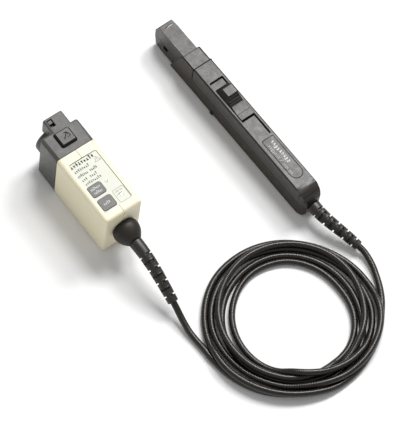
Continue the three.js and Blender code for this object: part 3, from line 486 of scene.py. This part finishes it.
# Each turn of the coil: its first angle, then the radius and the layer every 30 degrees.
TURNS = [
    (90, [72.6, 67.8, 63.6, 61.5, 59.5, 56.6, 56.0, 57.0, 57.9], [0, 0, 0, 0, 0, 0, 0, 0, 0]),
    (360, [57.3, 57.0, 57.3, 56.4, 54.8, 53.8, 53.9, 55.7, 59.3, 63.2, 65.9, 66.0],
     [0, 0, 0, 0, 0, 0, 0.2, 0.8, 1, 1, 1, 1]),
    (720, [64.5, 62.0, 59.3, 56.4, 54.2, 52.4, 51.2, 51.1, 50.8, 49.4, 51.1, 52.7],
     [1, 1, 1, 1, 1, 0.7, 0.1, 0, 0, 0, 0, 0]),
    (1080, [52.0, 49.8, 48.6, 48.0, 48.3, 50.4, 55.4, 62.0, 65.8, 64.5, 64.0, 64.2],
     [0, 0, 0, 0, 0.35, 1.4, 1.6, 1.1, 0.8, 0, 0, 0]),
    (1440, [65.0, 66.2, 65.7, 62.3, 59.5, 59.8, 63.3, 68.2, 72.4, 71.4, 69.3, 69.0],
     [0, 0.1, 0.7, 1, 1, 1, 1, 1, 0.9, 0.2, 0, 0]),
    (1800, [70.3, 71.0, 71.2, 71.4, 68.5, 66.3, 66.9, 68.5, 73.8], [0, 0, 0.6, 1, 0.6, 0, 0, 0, 0]),
]
LAYER_RISE = 0.95 * DIAMETER
LAYER_WEIGHT = 20                # how far one layer counts along the curve through the knots


def coil_points():
    """The coil's line as it is laid, every 10 degrees of each turn."""
    given = [
        (first + 30 * k, radius, LAYER_WEIGHT * layer)
        for first, radii, layers in TURNS
        for k, (radius, layer) in enumerate(zip(radii, layers))
    ]
    knots = curve_through(given, 2.0)
    points = []
    for angle in range(given[0][0], given[-1][0] + 1, 10):
        radius = np.interp(angle, knots[:, 0], knots[:, 1])
        layer = np.interp(angle, knots[:, 0], knots[:, 2]) / LAYER_WEIGHT
        bearing = math.radians(angle)
        x = COIL_CENTRE[0] + radius * math.cos(bearing)
        y = COIL_CENTRE[1] + radius * math.sin(bearing)
        points.append((x, y, DIAMETER / 2 + LAYER_RISE * layer))
    return points


def eased(line, laid):
    """One step of bending back to a smooth line near the laid one, and of sinking."""
    line[1:-1] += 0.25 * ((line[:-2] + line[2:]) / 2 - line[1:-1]) * (0.15, 0.15, 1.0)
    line[2:-2] -= 0.02 * (line[:-4] - 4 * line[1:-3] + 6 * line[2:-2] - 4 * line[3:-1] + line[4:])
    line[:, :2] += 0.1 * (laid[:, :2] - line[:, :2])
    line[:, 2] -= 0.03


def pushed_apart(line, first, second, order, across):
    """How far each point moves so that strands nearer than `across` come apart, kept in their order."""
    apart = line[second] - line[first]
    distance = np.linalg.norm(apart, axis=1)
    touching = distance < across
    i, j, gap = first[touching], second[touching], np.maximum(distance[touching], 1e-6)
    way = apart[touching] / gap[:, None]
    stacked = np.abs(order[touching]) >= 1.2
    way[:, :2] *= 0.6
    way[stacked, 2] = np.sign(order[touching][stacked]) * np.maximum(np.abs(way[stacked, 2]), 0.55)
    way *= ((across - gap) / 2 / np.linalg.norm(way, axis=1))[:, None]
    shift, count = np.zeros_like(line), np.zeros(len(line))
    np.add.at(shift, i, -way)
    np.add.at(shift, j, way)
    np.add.at(count, i, 1)
    np.add.at(count, j, 1)
    return shift / np.maximum(count, 1)[:, None]


def settled(laid, rounds=400):
    """Lets the laid cable sink onto the floor and onto itself, without passing through itself."""
    line, across = laid.copy(), DIAMETER + 0.05
    step = np.linalg.norm(np.diff(line, axis=0), axis=1).mean()
    first, second = np.triu_indices(len(line), int(3.2 * across / step))
    close = np.hypot(*(laid[second, :2] - laid[first, :2]).T) < 14
    first, second = first[close], second[close]
    order = laid[second, 2] - laid[first, 2]
    held = np.zeros(len(line), bool)
    held[:7] = held[-7:] = True
    for _ in range(rounds):
        eased(line, laid)
        for _ in range(3):
            line += 1.3 * pushed_apart(line, first, second, order, across)
            line[:, 2] = np.maximum(line[:, 2], DIAMETER / 2)
            line[held] = laid[held]
    return line


cable_line = settled(curve_through(BOX_LEAD + coil_points() + HEAD_LEAD, 4.0))
cable_line = curve_through(cable_line, 1.6) * MM
cable_mesh = swept("cable", cable_line, lambda distance, angle: DIAMETER / 2 * MM, 18)
cable = new_object("cable", cable_mesh, CABLE, "probe", 60)
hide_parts("cable_coil", "box_lead", "head_lead")


# ------------------------------------------------------------- strain reliefs
BOX_BOOT = [(-46.4, 143.3, 28.5), (-53, 143.45, 28.4), (-64, 143.7, 26.8), (-76, 144.1, 23.1),
            (-88.5, 144.7, 17.8), (-100.9, 145.4, 12.2)]
HEAD_BOOT = [(-100.5, 0, 15.5), (-106, -0.1, 15.45), (-115, -1.3, 14.6), (-126, -4.3, 12.4),
             (-137, -7.8, 9.5), (-148.3, -10.7, 6.8)]
SLOT_DEPTH, SLOT_HALF, SLOT_EDGE = 1.75, 0.80, 0.28
LIP_HEIGHT, LIP_END = 0.30, 1.7
BRIDGE_TURN = 0.6                # radians between the first bridge and the side


def clamped(value):
    return min(1, max(0, value))


def boot(name, node, route, collar, bands, base, tip):
    """A slotted strain relief: bands joined by bridges that change sides from slot to slot."""
    line = curve_through(route, 0.25) * MM
    length = float(np.linalg.norm(np.diff(line, axis=0), axis=1).sum()) / MM
    pitch = (length - collar) / bands

    def radius(distance, angle):
        s = distance / MM
        reach = base + (tip - base) * s / length
        place = (s - collar) / pitch
        slot = math.floor(place + 0.5)
        if s > collar - 0.5 * pitch and slot < bands:
            off = abs(place - slot) * pitch
            bridge = abs(math.cos(angle - BRIDGE_TURN - (0 if slot % 2 else math.pi / 2)))
            depth = SLOT_DEPTH * clamped((0.93 - bridge) / 0.06)
            reach -= depth * clamped((SLOT_HALF - off) / SLOT_EDGE)
            reach += LIP_HEIGHT * clamped((LIP_END - off) / 1.2) if off > SLOT_HALF else 0
        tip_bevel, base_bevel = max(0, (0.5 - (length - s)) / 0.5), max(0, (0.6 - s) / 0.6)
        return (reach - 0.6 * tip_bevel - 0.5 * base_bevel) * MM

    piece = new_object(name, swept(name, line, radius, 64), BOOT, "probe", 42)
    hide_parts(node)


boot("box_boot_finished", "box_boot", BOX_BOOT, 14, 7, 5.8, 4.5)
boot("head_boot_finished", "head_boot", HEAD_BOOT, 7, 9, 5.9, 4.3)


# --------------------------------------------------------------- the box's gland
GLAND_HEIGHT = 28.5


def turned(name, profile, height, place, sides=64):
    """A turned body on the frame's x; its profile lists (distance along x, radius)."""
    points, faces = [], []
    for along, reach in profile:
        for k in range(sides):
            angle = k / sides * 2 * math.pi
            spot = Vector((along, reach * math.cos(angle), height + reach * math.sin(angle))) * MM
            points.append(place @ spot)
    for i in range(len(profile) - 1):
        for k in range(sides):
            after = (k + 1) % sides
            faces.append((i * sides + k, (i + 1) * sides + k, (i + 1) * sides + after, i * sides + after))
    faces.append(tuple(range(sides)))
    faces.append(tuple((len(profile) - 1) * sides + k for k in reversed(range(sides))))
    mesh = mesh_from(name, points, faces)
    face_outward(mesh)
    return mesh


def add_gland():
    knots = [(-17.5, 5.6), (-17.2, 6.0), (-15.5, 7.4), (-12, 9.9), (-8, 11.4), (-4.5, 11.7), (-1.5, 10.9),
             (-0.3, 10.2)]
    profile = [(x, r) for x, r, _ in curve_through([(x, r, 0) for x, r in knots], 0.5)]
    profile += [(-0.3, 6.0), (4.0, 6.0)]
    mesh = turned("cable_dome_finished", profile, GLAND_HEIGHT, BOX_FRAME)
    dome = new_object("cable_dome_finished", mesh, DOME, "probe", 45)
    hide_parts("cable_dome")


add_gland()


# ------------------------------------------------- tools for prints and hoops
def prints(name, shapes, top, place, material, body="probe", thick=0.05):
    """Printed marks: thin closed plates on a surface at height top."""
    points, faces = [], []
    for shape in shapes:
        area = sum(a[0] * b[1] - b[0] * a[1] for a, b in zip(shape, shape[1:] + shape[:1]))
        ring = shape if area > 0 else shape[::-1]
        start, count = len(points), len(ring)
        for height in (top - 0.03, top + thick):
            points += [place @ (Vector((x, y, height)) * MM) for x, y in ring]
        faces.append(tuple(start + count + k for k in range(count)))
        faces.append(tuple(start + k for k in reversed(range(count))))
        for k in range(count):
            after = (k + 1) % count
            faces.append((start + k, start + after, start + count + after, start + count + k))
    return new_object(name, mesh_from(name, points, faces), material, body, 30)


def bar(x0, y0, x1, y1, width):
    dx, dy = x1 - x0, y1 - y0
    length = math.hypot(dx, dy)
    nx, ny = -dy / length * width / 2, dx / length * width / 2
    return [(x0 + nx, y0 + ny), (x0 - nx, y0 - ny), (x1 - nx, y1 - ny), (x1 + nx, y1 + ny)]


def loop_bars(points, width):
    return [bar(*a, *b, width) for a, b in zip(points, points[1:] + points[:1])]


STROKE_HEIGHTS = (0.62, 1.0, 0.7, 0.62, 0.86)
LIP_HEIGHTS = (0.12, 0.88, 0.5)
WORD_GAP = 1.3


def word_row(along, start, end, height, words, stroke, across=False):
    """Greeked type: upright strokes that stand for words, with no letters in them.

    A row lies at `along` and runs from start to end; words lists how many strokes each word has.
    The row runs along y, with its strokes along x, or the other way round with across.
    """
    shapes, span, total = [], end - start, sum(words) + WORD_GAP * (len(words) - 1)
    place = 0.0
    for number, letters in enumerate(words):
        for k in range(letters):
            centre = start + span * (place + 0.5) / total
            low = along - height / 2
            tall = height * STROKE_HEIGHTS[(k * 3 + number * 2) % 5]
            lip = abs(span) / total * 0.36
            level = low + tall * LIP_HEIGHTS[(k + number) % 3]
            if across:
                shapes.append(bar(centre, low, centre, low + tall, stroke))
                shapes.append(bar(centre - lip, level, centre + lip, level, stroke * 0.8))
            else:
                shapes.append(bar(low, centre, low + tall, centre, stroke))
                shapes.append(bar(level, centre - lip, level, centre + lip, stroke * 0.8))
            place += 1
        place += WORD_GAP
    return shapes


def word_rows(rows, across=False):
    return [shape for row in rows for shape in word_row(*row, across=across)]


def hoop(name, outer, inner, front, rear, place, material):
    """A closed hoop between two outlines of (y, z) points, from front to rear along the frame's x."""
    points = [place @ (Vector((x, y, z)) * MM) for x in (front, rear) for y, z in (*outer, *inner)]
    count = len(outer)
    far = 2 * count
    faces = []
    for k in range(count):
        after = (k + 1) % count
        a, b, c, d = k, after, count + after, count + k
        faces += [(a, b, c, d), (a + far, d + far, c + far, b + far)]
        faces += [(a, a + far, b + far, b), (d, c, c + far, d + far)]
    mesh = mesh_from(name, points, faces)
    face_outward(mesh)
    return new_object(name, mesh, material, "probe", 30)


def ring_outline(low_y, high_y, low_z, high_z, corner):
    """A rectangle of (y, z) points with its corners cut off."""
    return [(low_y + corner, low_z), (high_y - corner, low_z), (high_y, low_z + corner),
            (high_y, high_z - corner), (high_y - corner, high_z), (low_y + corner, high_z),
            (low_y, high_z - corner), (low_y, low_z + corner)]


# ------------------------------------------------------------- the box's marks
# Label: grey rows of greeked type, a warning-shaped triangle, a chevron and a thin legend frame.
label_rows = word_rows([
    (55.7, 13.7, -9.2, 3.5, [9], 1.0),
    (50.6, 13.3, -1.2, 2.7, [8], 0.62),
    (45.8, 13.3, -5.6, 2.7, [7, 5], 0.62),
    (41.2, 12.3, -2.4, 2.6, [3, 4], 0.58),
    (37.0, 12.0, -3.6, 2.6, [9], 0.56),
])
prints("label_type", label_rows, BOX_TOP, BOX_FRAME, GREY_INK)

triangle = loop_bars([(49.0, -6.7), (53.5, -9.4), (49.0, -12.1)], 0.5)
triangle.append(bar(51.6, -9.4, 50.1, -9.4, 0.5))
chevron = [bar(30.9, -2.6, 28.9, -4.0, 0.45), bar(30.9, -5.6, 28.9, -4.0, 0.45)]
legend = loop_bars([(7.9, -3.2), (7.9, -11.6), (8.9, -12.6), (19.3, -12.6), (20.3, -11.6), (20.3, -3.2),
                    (19.3, -2.2), (8.9, -2.2)], 0.42)
legend += word_rows([(18.2, -3.6, -10.6, 1.6, [4, 3], 0.34), (15.4, -3.6, -9.0, 1.6, [5], 0.34)])
prints("label_symbols", triangle + chevron + legend, BOX_TOP, BOX_FRAME, PALE_INK)

# Painted shade as a dark strip in the gap round the label on two sides, and film-coloured strips that fill
# the gap on the others.
gap_shade_bars = [bar(8.6, -13.35, 57.2, -13.35, 0.55), bar(57.2, -13.35, 58.1, -12.2, 0.5),
           bar(58.1, -12.2, 58.1, 12.4, 0.55)]
prints("label_gap_shade", gap_shade_bars, BOX_TOP, BOX_FRAME, OLIVE_GAP_SHADE)
bed = [bar(9.4, 13.82, 56.4, 13.82, 0.62), bar(7.4, -11.4, 7.4, 11.7, 0.62), bar(7.45, 11.6, 9.5, 13.75, 0.6),
       bar(7.45, -11.4, 9.4, -13.3, 0.6), bar(56.3, 13.75, 58.2, 11.9, 0.6)]
prints("label_bed", bed, BOX_TOP - 0.06, BOX_FRAME, FILM, thick=0.04)
seams = [bar(58.9, 0, 65.0, 0, 0.28), bar(2.2, 0, 6.9, 0, 0.28)]
prints("shell_seam", seams, BOX_TOP, BOX_FRAME, SEAM, thick=0.02)

degauss_rows = word_rows([(30.2, 11.8, 2.6, 2.7, [7], 0.6), (26.2, 11.2, 3.2, 2.7, [6], 0.6)])
prints("degauss_legend", degauss_rows, KEY_TOP, BOX_FRAME, KEY_INK, "degauss_key")
menu_row = word_row(14.2, 10.6, 4.0, 2.7, [4], 0.75)
prints("menu_legend", menu_row, KEY_TOP, BOX_FRAME, KEY_INK, "menu_key")

# Latch button: a dark arrow with a smaller corner mark beside it.
icon = [bar(78.6, 2.6, 83.6, -2.4, 0.7), bar(83.6, -2.4, 80.8, -2.4, 0.7), bar(83.6, -2.4, 83.6, 0.4, 0.7),
        bar(79.0, -3.4, 82.0, -3.4, 0.5), bar(79.0, -3.4, 79.0, -0.6, 0.5)]
prints("latch_icon", icon, LATCH_TOP, BOX_FRAME, DARK_INK_AND_SHADE, "latch_key", thick=0.03)


# ------------------------------------------------------------ the head's marks
def back(distance):
    """The x of a place so far behind the head's tip."""
    return HEAD_TIP - distance


def label_rim():
    """The head label's outline: square at the front, round at the back."""
    start, end, middle, half = 137.1, 173.85, -0.65, 5.72
    rim = [(back(start), middle + half)]
    for k in range(13):
        angle = math.pi / 2 + math.pi * k / 12
        rim.append((back(end) + half * math.cos(angle), middle + half * math.sin(angle)))
    return rim + [(back(start), middle - half), (back(start - 1), -5.4), (back(start - 1), 4.1)]


mark = [bar(back(4.3), -3.9, back(4.5), 3.1, 0.5), bar(back(4.5), 0.4, back(4.6), 3.1, 0.7)]
prints("jaw_mark", mark, JAW_TOP, HEAD_FRAME, JAW_INK, "jaw")
mark_shadow = [bar(back(3.4), -4.6, back(3.5), 2.6, 0.35)]
prints("jaw_mark_shadow", mark_shadow, JAW_TOP, HEAD_FRAME, DARK_INK_AND_SHADE, "jaw", thick=0.02)

title = word_row(-1.7, back(139.6), back(163.8), 3.5, [9], 0.85, across=True)
prints("head_label_title", title, HEAD_TOP, HEAD_FRAME, WHITE_INK)
note = word_rows([(3.0, back(141.8), back(156.6), 2.6, [7], 0.62),
                  (2.9, back(162.4), back(173.6), 1.8, [4, 3], 0.5)], across=True)
note.append(bar(back(158.2), 3.6, back(160.2), -0.4, 0.35))
prints("head_label_note", note, HEAD_TOP, HEAD_FRAME, NOTE_INK)
label_edge = loop_bars(label_rim(), 0.5)
prints("head_label_outline", label_edge, HEAD_TOP, HEAD_FRAME, DARK_INK_AND_SHADE, thick=0.03)
slider_line = [bar(back(105.4), -6.1, back(105.4), 6.1, 0.34)]
prints("slider_line", slider_line, SLIDER_TAIL_TOP, HEAD_FRAME, DARK_INK_AND_SHADE, "jaw", thick=0.02)


# Painted shade as a dark ring in the gap round the cover's mouth, behind the jaw's collar, and a gasket
# behind the connector block.
mouth_outer = ring_outline(-9.7, 9.7, 16.6, HEAD_TOP + 0.15, 0.7)
mouth_inner = ring_outline(-8.62, 8.62, 17.2, COLLAR_TOP + 0.25, 0.4)
hoop("mouth_gap_shade", mouth_outer, mouth_inner, back(50.9), back(50.05), HEAD_FRAME, DARK_INK_AND_SHADE)
block_outer = ring_outline(-18.43, 18.43, 0, BOX_TOP + 0.03, 2.3)
block_inner = ring_outline(-17.2, 17.2, 1.2, BOX_TOP - 1.2, 1.6)
hoop("block_gasket", block_outer, block_inner, 66.95, 67.35, BOX_FRAME, DARK_INK_AND_SHADE)

# Dark lines: the collar's front edge; painted shadow behind the slider's foot; painted shade along the
# pocket's front and far walls.
collar_line = [bar(back(35.1), -7.7, back(35.1), 7.7, 0.4)]
prints("collar_line", collar_line, COLLAR_TOP, HEAD_FRAME, DARK_INK_AND_SHADE, "jaw", thick=0.02)
slider_shadow = [bar(back(111.9), -6.3, back(111.9), 6.5, 1.0)]
prints("slider_shadow", slider_shadow, SLIDER_SHADOW_TOP, HEAD_FRAME, DARK_INK_AND_SHADE, "jaw",
       thick=0.03)
# Painted shade along the pocket's front and far walls.
pocket_wall_shade = [bar(back(68.9), -6.9, back(68.9), 6.9, 1.2), bar(back(68.4), -6.35, back(133.2), -6.35, 1.0)]
prints("pocket_wall_shade", pocket_wall_shade, POCKET_FLOOR, HEAD_FRAME, DARK_INK_AND_SHADE, thick=0.03)


# -------------------------------------------------------------- floor and light
FLOOR_HALF, FLOOR_HEIGHT = 6, -0.0002                     # metres
PANEL_DISTANCE, PANEL_SIZE = 2.6, 0.8                     # metres
PANELS = {"key_panel": ((0.277, -0.961, 1.19), 36), "top_panel": ((0.302, -0.334, 0.893), 34)}
LIT_SPOT = Vector((-0.05, 0.07, 0))                       # metres
WORLD_STRENGTH = 0.46


def add_floor():
    """A plain sheet of pale paper."""
    corners = [(-1, -1), (1, -1), (1, 1), (-1, 1)]
    points = [(x * FLOOR_HALF, y * FLOOR_HALF, FLOOR_HEIGHT) for x, y in corners]
    mesh = mesh_from("floor", points, [(0, 1, 2, 3)])
    floor = bpy.data.objects.new("floor", mesh)
    scene.collection.objects.link(floor)
    material, tree, surface = shader("floor_paper")
    paper = noise(tree, tree.nodes.new("ShaderNodeTexCoord").outputs["Object"], 3, 2)
    stops = [(0.3, (0.89, 0.89, 0.89)), (0.7, (0.91, 0.91, 0.91))]
    tree.links.new(ramp(tree, paper, stops), surface.inputs["Base Color"])
    surface.inputs["Roughness"].default_value = 0.9
    surface.inputs["Specular IOR Level"].default_value = 0.1
    mesh.materials.append(material)


def add_panel(name, direction, power):
    """A round soft light that faces the object from the given direction."""
    light = bpy.data.lights.new(name, "AREA")
    light.shape = "DISK"
    light.size = PANEL_SIZE
    light.energy = power
    lamp = bpy.data.objects.new(name, light)
    scene.collection.objects.link(lamp)
    way = Vector(direction).normalized()
    lamp.location = LIT_SPOT + way * PANEL_DISTANCE
    lamp.rotation_mode = "QUATERNION"
    lamp.rotation_quaternion = way.to_track_quat("Z", "Y")


def add_world():
    world = bpy.data.worlds.new("studio")
    scene.world = world
    world.use_nodes = True
    background = world.node_tree.nodes["Background"]
    background.inputs["Color"].default_value = (1, 1, 1, 1)
    background.inputs["Strength"].default_value = WORLD_STRENGTH


add_floor()
for name, (direction, power) in PANELS.items():
    add_panel(name, direction, power)
add_world()
scene.view_settings.view_transform = "Standard"
